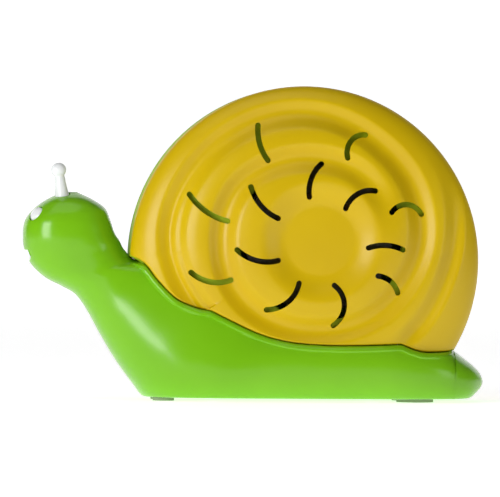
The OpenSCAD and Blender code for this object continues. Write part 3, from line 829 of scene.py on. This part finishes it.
@dataclass
class SnailBody:
    """The green body: head, neck and foot in two moulded halves, open where the shell sits."""

    plan: Plan
    relief: Relief
    roundness: float = 2.5
    wall: float = 2.0
    lip_width: float = 1.3
    lip_fade: float = 0.7
    lip_share: float = 0.4
    lip_round: float = 0.8
    lip_proud: float = 0.6
    rows_between: int = 17
    side_columns: int = 44
    mouth_h: float = 2.4
    mouth_w: float = 14.6
    plate_gap: float = 0.1
    plate_corner: float = 5.0
    pad_gap: float = 0.12
    feeler_hole_r: float = 2.47
    eye_hole_r: float = 2.82
    cut_depth: float = 8.0
    mouth_round: float = 0.35

    def stations(self) -> np.ndarray:
        """Returns the listed sections: front x and z, back x and z, and half width."""
        head, neck, foot = self.plan.head_d, self.plan.neck_w, self.plan.foot_w

        def between(share: float) -> float:
            return (neck + (foot - neck) * share) / 2

        table = (
            (-0.918, 0.864, -0.6, 1.0, (head * 0.2 + neck * 0.8) * 0.49),
            (-0.861, 0.806, -0.55, 1.0, neck * 0.5),
            (-0.81, 0.745, -0.5, 1.01, neck * 0.515),
            (-0.768, 0.63, -0.435, 1.0, between(0.13)),
            (-0.725, 0.474, -0.365, 0.99, between(0.3)),
            (-0.668, 0.286, -0.295, 0.92, between(0.52)),
            (-0.611, 0.13, -0.215, 0.84, between(0.73)),
            (-0.553, 0.0, -0.13, 0.74, between(0.88)),
            (-0.45, -0.06, -0.064, 0.61, foot * 0.492),
            (-0.3, -0.08, 0.02, 0.58, foot * 0.5),
            (-0.03, -0.08, 0.12, 0.56, foot * 0.5),
            (0.2, -0.08, 0.28, 0.55, foot * 0.5),
            (0.5, -0.07, 0.5, 0.52, foot * 0.48),
            (0.76, -0.05, 0.76, 0.42, foot * 0.4),
            (0.9, 0.0, 0.905, 0.30, foot * 0.29),
            (0.975, 0.08, 0.975, 0.22, foot * 0.15),
            (1.0, 0.13, 1.0, 0.16, foot * 0.04),
        )
        shell_x, shell_z = self.plan.shell
        nose = shell_x - self.plan.nose_x
        tail = self.plan.tail_x - shell_x

        def x_at(share: float) -> float:
            return shell_x + share * (nose if share < 0 else tail)

        head_table = (
            (-0.116, 1.02, 0.22, 1.03, 0.2), (-0.479, 0.85, 0.57, 0.87, 0.66),
            (-0.771, 0.624, 0.86, 0.67, 0.86), (-0.956, 0.37, 0.985, 0.4, 0.966),
            (-1.0, 0.029, 1.085, 0.115, 1.0), (-0.962, -0.292, 1.2, -0.07, 0.994),
            (-0.797, -0.63, 1.3, -0.26, 0.966),
        )
        r, (hx, hz) = self.plan.head_r, self.plan.head
        return np.array(
            [(hx + a * r, hz + b * r, hx + c * r, hz + d * r, w * r)
             for a, b, c, d, w in head_table]
            + [(x_at(a), b * shell_z, x_at(c), d * shell_z, w) for a, b, c, d, w in table]
        )

    def skin(self) -> np.ndarray:
        """Returns the near half's outer skin as sections by points, in millimetres, from the
        middle plane below or in front, round the side, to the seam or the middle plane again."""
        stations = self.stations()
        count = (len(stations) - 1) * self.rows_between + 1
        rows = catmull(stations, np.linspace(0, len(stations) - 1, count))
        seam = self.plan.seam()
        lip = np.array([0, 0.12, 0.3, 0.5, 0.75, 1.0, 1.25, 1.5, 1.8, 2.1, 2.5, 3.0, 3.6, 4.4])
        lattice = np.zeros((count, self.side_columns + len(lip), 3))
        dense = np.linspace(-1, 1, 700)
        for i, (ax, az, bx, bz, w) in enumerate(rows):
            a, b = np.array([ax, az]), np.array([bx, bz])
            mid, half = (a + b) / 2, (b - a) / 2
            line = mid + half * dense[:, None]
            level = np.interp(line[:, 0], seam[:, 0], seam[:, 1])
            over = (line[:, 0] > seam[0, 0]) & (line[:, 1] > level) & (dense > -0.6)
            end = dense[np.argmax(over)] if over.any() else 1.0
            t = np.linspace(-math.pi / 2, math.asin(power(np.array(end), self.roundness / 2)), 500)
            tau = power(np.sin(t), 2 / self.roundness)
            side = w * power(np.cos(t), 2 / self.roundness)
            curve = np.stack([mid[0] + half[0] * tau, -side, mid[1] + half[1] * tau], 1)
            steps = np.linalg.norm(np.diff(curve, axis=0), axis=1)
            length = np.concatenate([[0], np.cumsum(steps)])
            lip_at = length[-1] - np.minimum(lip[::-1], length[-1] * 0.35 * lip[::-1] / lip[-1])
            below = np.linspace(0, lip_at[0], self.side_columns + 1)[:-1]
            wanted = np.concatenate([below, lip_at])
            for axis in range(3):
                lattice[i, :, axis] = np.interp(wanted, length, curve[:, axis])
        low = self.plan.foot_gap
        z = lattice[..., 2]
        lattice[..., 2] = low + 0.5 * ((z - low) + np.sqrt((z - low) ** 2 + 0.3))
        return self.raise_lip(lattice, seam)

    def raise_lip(self, lattice: np.ndarray, seam: np.ndarray) -> np.ndarray:
        """Raises a rounded lip along the seam, up to the cover's face.

        Args:
            lattice: the skin.
            seam: the seam's line.

        Returns:
            The skin with its lip.
        """
        flat = lattice[..., [0, 2]].reshape(-1, 2)
        distance = np.full(len(flat), np.inf)
        for a, b in zip(seam[:-1], seam[1:]):
            along = b - a
            share = np.clip(((flat - a) @ along) / max(along @ along, 1e-9), 0, 1)
            off = np.linalg.norm(flat - a - share[:, None] * along, axis=1)
            distance = np.minimum(distance, off)
        distance = distance.reshape(lattice.shape[:2])
        x, z = lattice[..., 0], lattice[..., 2]
        side = -lattice[..., 1]
        cover = self.relief.height(x, z)
        inside = np.hypot(x - self.plan.shell[0], z - self.plan.shell[1]) < self.plan.shell_r + 1
        step = self.lip_proud + self.lip_share * np.clip(cover - side, 0, None)
        blend = 1 - smoothstep(distance, self.lip_width, self.lip_width + self.lip_fade)
        blend = blend * smoothstep(side, self.plan.band_half - 3, self.plan.band_half + 1.5)
        raised = side + step * blend * inside
        near = np.clip(self.lip_round - distance, 0, None)
        drop = self.lip_round - np.sqrt(self.lip_round**2 - near**2)
        lattice = lattice.copy()
        lattice[..., 1] = -np.clip(raised - drop * (side > 1), 0, None)
        return lattice

    def cutters(self) -> list[bpy.types.Object]:
        """Returns the closed shapes that the near half's openings are cut with."""
        plate_low, plate_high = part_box("base_plate")
        cut = []
        clear_selection()
        bpy.ops.mesh.primitive_cube_add(size=1)
        plate = added("plate_cut")
        size = plate_high - plate_low
        gap = 2 * self.plate_gap * MM
        plate.dimensions = (size.x + gap, size.y + gap, self.cut_depth * MM)
        plate.location = ((plate_low.x + plate_high.x) / 2, 0, 0)
        settle(plate)
        bpy.ops.object.mode_set(mode="EDIT")
        bpy.ops.mesh.select_all(action="DESELECT")
        bpy.ops.object.mode_set(mode="OBJECT")
        for edge in plate.data.edges:
            ends = [plate.data.vertices[v].co for v in edge.vertices]
            edge.select = abs(ends[0].z - ends[1].z) > MM
        bpy.ops.object.mode_set(mode="EDIT")
        bpy.ops.mesh.select_mode(type="EDGE")
        bpy.ops.mesh.bevel(offset=self.plate_corner * MM, segments=8)
        bpy.ops.object.mode_set(mode="OBJECT")
        cut.append(plate)
        for feet in ("front_feet", "rear_feet"):
            low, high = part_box(feet)
            radius = (high.x - low.x) / 2
            bpy.ops.mesh.primitive_cylinder_add(
                vertices=64, radius=radius + self.pad_gap * MM, depth=7 * MM,
                location=((low.x + high.x) / 2, low.y + radius, 0))
            cut.append(settle(added(f"{feet}_cut")))
        low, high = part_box("near_feeler")
        bpy.ops.mesh.primitive_cylinder_add(
            vertices=48, radius=self.feeler_hole_r * MM, depth=12 * MM,
            location=(
                (low.x + high.x) / 2 + Feelers.forward * MM, (low.y + high.y) / 2,
                low.z + 3.4 * MM))
        cut.append(settle(added("feeler_cut")))
        return cut + [self.eye_cutter(), self.mouth_cutter()]

    def eye_cutter(self) -> bpy.types.Object:
        """Returns the shape of the eye's pocket."""
        frame = Eyes(self.plan).frame()
        depth = self.cut_depth * MM
        bpy.ops.mesh.primitive_cylinder_add(
            vertices=64, radius=self.eye_hole_r * MM, depth=depth)
        cutter = added("eye_cut")
        cutter.data.transform(frame @ Matrix.Translation((0, 0, depth / 2)))
        return cutter

    def mouth_cutter(self) -> bpy.types.Object:
        """Returns the shape of the mouth: a slit that opens downwards at the lip."""
        head_r = self.plan.head_r
        x, z = self.plan.head[0], self.plan.head[1] - 0.33 * head_r
        top, low = z + 0.7, z - 0.5 - self.mouth_h / 2
        outline = [
            (x - 1.25 * head_r, top), (x - 0.4 * head_r, top - 0.3), (x - 0.4 * head_r, low + 0.6),
            (x - 0.82 * head_r, low + 0.3), (x - 0.845 * head_r, low - 1.6),
            (x - 1.25 * head_r, low - 3.4)]
        flat = np.array([(px, -self.mouth_w / 2, pz) for px, pz in outline])
        cutter = prism("mouth_cut", flat * MM, Vector((0, self.mouth_w * MM, 0)))
        pick(cutter)
        bpy.ops.object.mode_set(mode="EDIT")
        bpy.ops.mesh.select_all(action="SELECT")
        bpy.ops.mesh.bevel(offset=self.mouth_round * MM, segments=3)
        bpy.ops.object.mode_set(mode="OBJECT")
        return cutter

    def build(self, mats: dict[str, bpy.types.Material]) -> None:
        """Builds both halves."""
        near = grid_sheet("near_body_half", self.skin() * MM, closed=True)
        self.face_outwards(near)
        modify(near, "SOLIDIFY", thickness=self.wall * MM, offset=-1.0, use_even_offset=False)
        carve(near, self.cutters())
        smooth(near, 38)
        dress(near, mats["green_body"])
        far = mirrored(near, "far_body_half")
        for half, cad in ((near, "body_near"), (far, "body_far")):
            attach(half, "body")
            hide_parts(cad)
            LOG.info("%s: %d faces", half.name, len(half.data.polygons))

    def face_outwards(self, obj: bpy.types.Object) -> None:
        """Turns the skin's faces so that they point away from the middle plane."""
        total = sum(p.normal.y * p.area for p in obj.data.polygons)
        if total > 0:
            pick(obj)
            bpy.ops.object.mode_set(mode="EDIT")
            bpy.ops.mesh.select_all(action="SELECT")
            bpy.ops.mesh.flip_normals()
            bpy.ops.object.mode_set(mode="OBJECT")


# ---------------------------------------------------------------- eyes and feelers


@dataclass
class Eyes:
    """Two white eyes: domed buttons with a rounded edge, pressed into the head."""

    plan: Plan
    radius: float = 2.6
    seat: float = 1.05
    dome: float = 1.5
    sink: float = 1.4
    place: tuple[float, float, float] = (-0.70, -0.49, 0.52)
    face: tuple[float, float, float] = (-0.60, -0.65, 0.466)

    def frame(self) -> Matrix:
        """Returns the place and turn of the near eye's foot."""
        x, z = self.plan.head
        at = Vector((x, 0, z)) + Vector(self.place) * (self.plan.head_r - self.sink)
        turn = Vector(self.face).to_track_quat("Z", "Y").to_matrix().to_4x4()
        return Matrix.Translation(at * MM) @ turn

    def build(self, mats: dict[str, bpy.types.Material]) -> None:
        """Builds the near eye and mirrors it."""
        profile = [(0.0, 0.0), (self.radius - 0.2, 0.0), (self.radius, 0.2)]
        for a in np.linspace(0, math.pi / 2, 20):
            profile.append((self.radius * math.cos(a) ** 0.8, self.seat + self.dome * math.sin(a)))
        profile[-1] = (0.0, profile[-1][1])
        near = turned("near_eye_button", [(r * MM, z * MM) for r, z in profile])
        near.data.transform(self.frame())
        smooth(near, 40)
        dress(near, mats["white_trim"])
        far = mirrored(near, "far_eye_button")
        for eye, cad in ((near, "near_eye"), (far, "far_eye")):
            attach(eye, "body")
            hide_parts(cad)
            LOG.info("%s on the head", eye.name)


@dataclass
class Feelers:
    """Two white feelers: a flared stem with a ball, leaning a little forwards."""

    ball_r: float = 2.4
    stem_r: float = 1.7
    foot_r: float = 2.4
    peg_r: float = 1.18
    peg_h: float = 2.6
    lean: float = 8.0
    forward: float = 0.4
    rise: float = 0.35

    def build(self, mats: dict[str, bpy.types.Material]) -> None:
        """Builds the near feeler and mirrors it."""
        low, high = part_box("near_feeler")
        tip = (high.z - low.z) / MM - self.peg_h - self.ball_r + self.rise
        profile = [
            (0, -self.peg_h), (self.peg_r - 0.2, -self.peg_h), (self.peg_r, 0.2 - self.peg_h),
            (self.peg_r, 0), (self.foot_r - 0.1, 0), (self.foot_r, 0.6)]
        stem = ((1.4, self.foot_r - 0.1), (2.6, self.foot_r - 0.32), (3.9, self.stem_r + 0.2),
                (5.2, self.stem_r + 0.05), (tip - self.ball_r - 0.4, self.stem_r - 0.04),
                (tip - self.ball_r + 0.35, self.stem_r - 0.2))
        profile += [(r, z) for z, r in stem]
        start = math.asin((self.stem_r - 0.08) / self.ball_r)
        for a in np.linspace(math.pi - start, 0, 22):
            profile.append((self.ball_r * math.sin(a), tip + self.ball_r * math.cos(a)))
        profile[-1] = (0, profile[-1][1])
        near = turned("near_feeler_stalk", [(r * MM, z * MM) for r, z in profile])
        turn = Matrix.Rotation(math.radians(-self.lean), 4, "Y")
        x = (low.x + high.x) / 2 + self.forward * MM
        base = Vector((x, (low.y + high.y) / 2, low.z + self.peg_h * MM))
        near.data.transform(Matrix.Translation(base) @ turn)
        smooth(near, 40)
        dress(near, mats["white_trim"])
        far = mirrored(near, "far_feeler_stalk")
        for stalk, cad in ((near, "near_feeler"), (far, "far_feeler")):
            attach(stalk, "body")
            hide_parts(cad)
            LOG.info("%s on the head", stalk.name)


# ---------------------------------------------------------------- CAD nodes kept


# The housings take the "housing" finish, whose lighter green is painted light for the shade inside
# the vent slots.
NODE_SLOTS = {
    "near_housing": "housing", "far_housing": "housing", "spindle": "steel_pin",
    "spindle_clip": "spring_clip", "drag_washer": "felt_washer", "tape_hub": "natural_hub",
    "tape_core": "paper_core", "tape_roll": "clear_tape", "tape_lead": "clear_tape",
    "guide_roller": "roller", "roller_pin": "steel_pin", "mouth_guide": "natural_hub",
    "cutter_blade": "blade_steel", "blade_rivets": "steel_pin", "ballast": "ballast_iron",
    "base_plate": "green_body", "base_screws": "zinc_screws", "housing_screws": "zinc_screws",
    "front_feet": "rubber_feet", "rear_feet": "rubber_feet",
}


def dress_nodes(frame: dict, mats: dict[str, bpy.types.Material]) -> None:
    """Gives each CAD node that stays its material."""
    for name, slot in NODE_SLOTS.items():
        dress(frame["nodes"][name], mats[slot])
        LOG.info("%s: %s", name, slot)


# ---------------------------------------------------------------- studio


@dataclass
class Studio:
    """A white sweep, soft lights, and the camera, in metres and degrees."""

    azimuth: float = -3.5
    elevation: float = 0.4
    distance: float = 2.0
    view_width: float = 0.1625
    roll: float = 0.46
    aim: tuple[float, float, float] = (-0.0011, 0.0, 0.0493)
    world: float = 0.07

    def sweep(self) -> None:
        """Builds the floor and the backdrop as one curved sheet."""
        bend = 0.35
        back = 2.4
        path = [(-2.4, 0.0), (-0.8, 0.0), (0.8, 0.0), (back, 0.0)]
        path += [
            (back + bend * math.sin(a), bend - bend * math.cos(a))
            for a in np.linspace(0, math.pi / 2, 16)[1:]
        ]
        path += [(back + bend, 1.4), (back + bend, 2.6)]
        across = np.linspace(-2.6, 2.6, 11)
        lattice = np.array([[(x, y, z) for x in across] for y, z in path])
        sheet = grid_sheet("paper_sweep", lattice, closed=False)
        smooth(sheet, 40)
        # Matt white acrylic, lit from behind, as product tables are: no shadow line, no tooth
        paper = Finish("acrylic_white_lit", "#FBFBFB", "#F8F8F8", 0.92, 0.03, 60, 1.5, 0.02,
                       specular=0.0, glow=0.7)
        dress(sheet, paper.material())
        sheet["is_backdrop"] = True

    def light(self, name: str, place: Vector, size: tuple[float, float], watts: float) -> None:
        """Adds a soft rectangular light that faces the object.

        Args:
            name: the light's name.
            place: where it stands.
            size: its width and height.
            watts: its power.
        """
        data = bpy.data.lights.new(name, "AREA")
        data.shape = "RECTANGLE"
        data.size, data.size_y = size
        data.energy = watts
        lamp = bpy.data.objects.new(name, data)
        bpy.context.scene.collection.objects.link(lamp)
        lamp.location = place
        lamp.rotation_euler = (place - Vector(self.aim)).to_track_quat("Z", "Y").to_euler()

    def build(self) -> None:
        """Builds the studio and sets the camera."""
        self.sweep()
        world = bpy.data.worlds.new("soft_white")
        world.use_nodes = True
        world.node_tree.nodes["Background"].inputs[0].default_value = (1, 1, 1, 1)
        world.node_tree.nodes["Background"].inputs[1].default_value = self.world
        bpy.context.scene.world = world
        self.light("key_left", Vector((-0.86, -0.86, 0.1)), (0.5, 0.9), 12.5)
        self.light("fill_right", Vector((0.95, -0.68, 0.05)), (0.36, 0.5), 1.3)
        self.light("top_soft", Vector((-0.2, -0.35, 1.1)), (0.9, 0.7), 1.8)
        a, e = math.radians(self.azimuth), math.radians(self.elevation)
        back = Vector((math.sin(a) * math.cos(e), -math.cos(a) * math.cos(e), math.sin(e)))
        data = bpy.data.cameras.new("camera")
        data.sensor_width = 36
        data.lens = data.sensor_width * self.distance / self.view_width
        camera = bpy.data.objects.new("camera", data)
        bpy.context.scene.collection.objects.link(camera)
        camera.location = Vector(self.aim) + back * self.distance
        turn = back.to_track_quat("Z", "Y") @ Quaternion((0, 0, 1), math.radians(self.roll))
        camera.rotation_euler = turn.to_euler()
        bpy.context.scene.camera = camera
        bpy.context.scene.view_settings.view_transform = "Standard"


def main() -> None:
    """Builds the dispenser's looks round its frame."""
    logging.basicConfig(level=logging.INFO, format="%(name)s: %(message)s")
    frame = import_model()
    plan = Plan.read()
    relief = Relief(plan)
    hub_low, hub_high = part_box("tape_hub")
    roller_low, roller_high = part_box("guide_roller")
    mats = finishes((hub_low + hub_high) / 2, (roller_low + roller_high) / 2)
    SnailBody(plan, relief).build(mats)
    ShellCovers(plan, relief).build(mats)
    Eyes(plan).build(mats)
    Feelers().build(mats)
    dress_nodes(frame, mats)
    Studio().build()


if __name__ == "__main__":
    main()
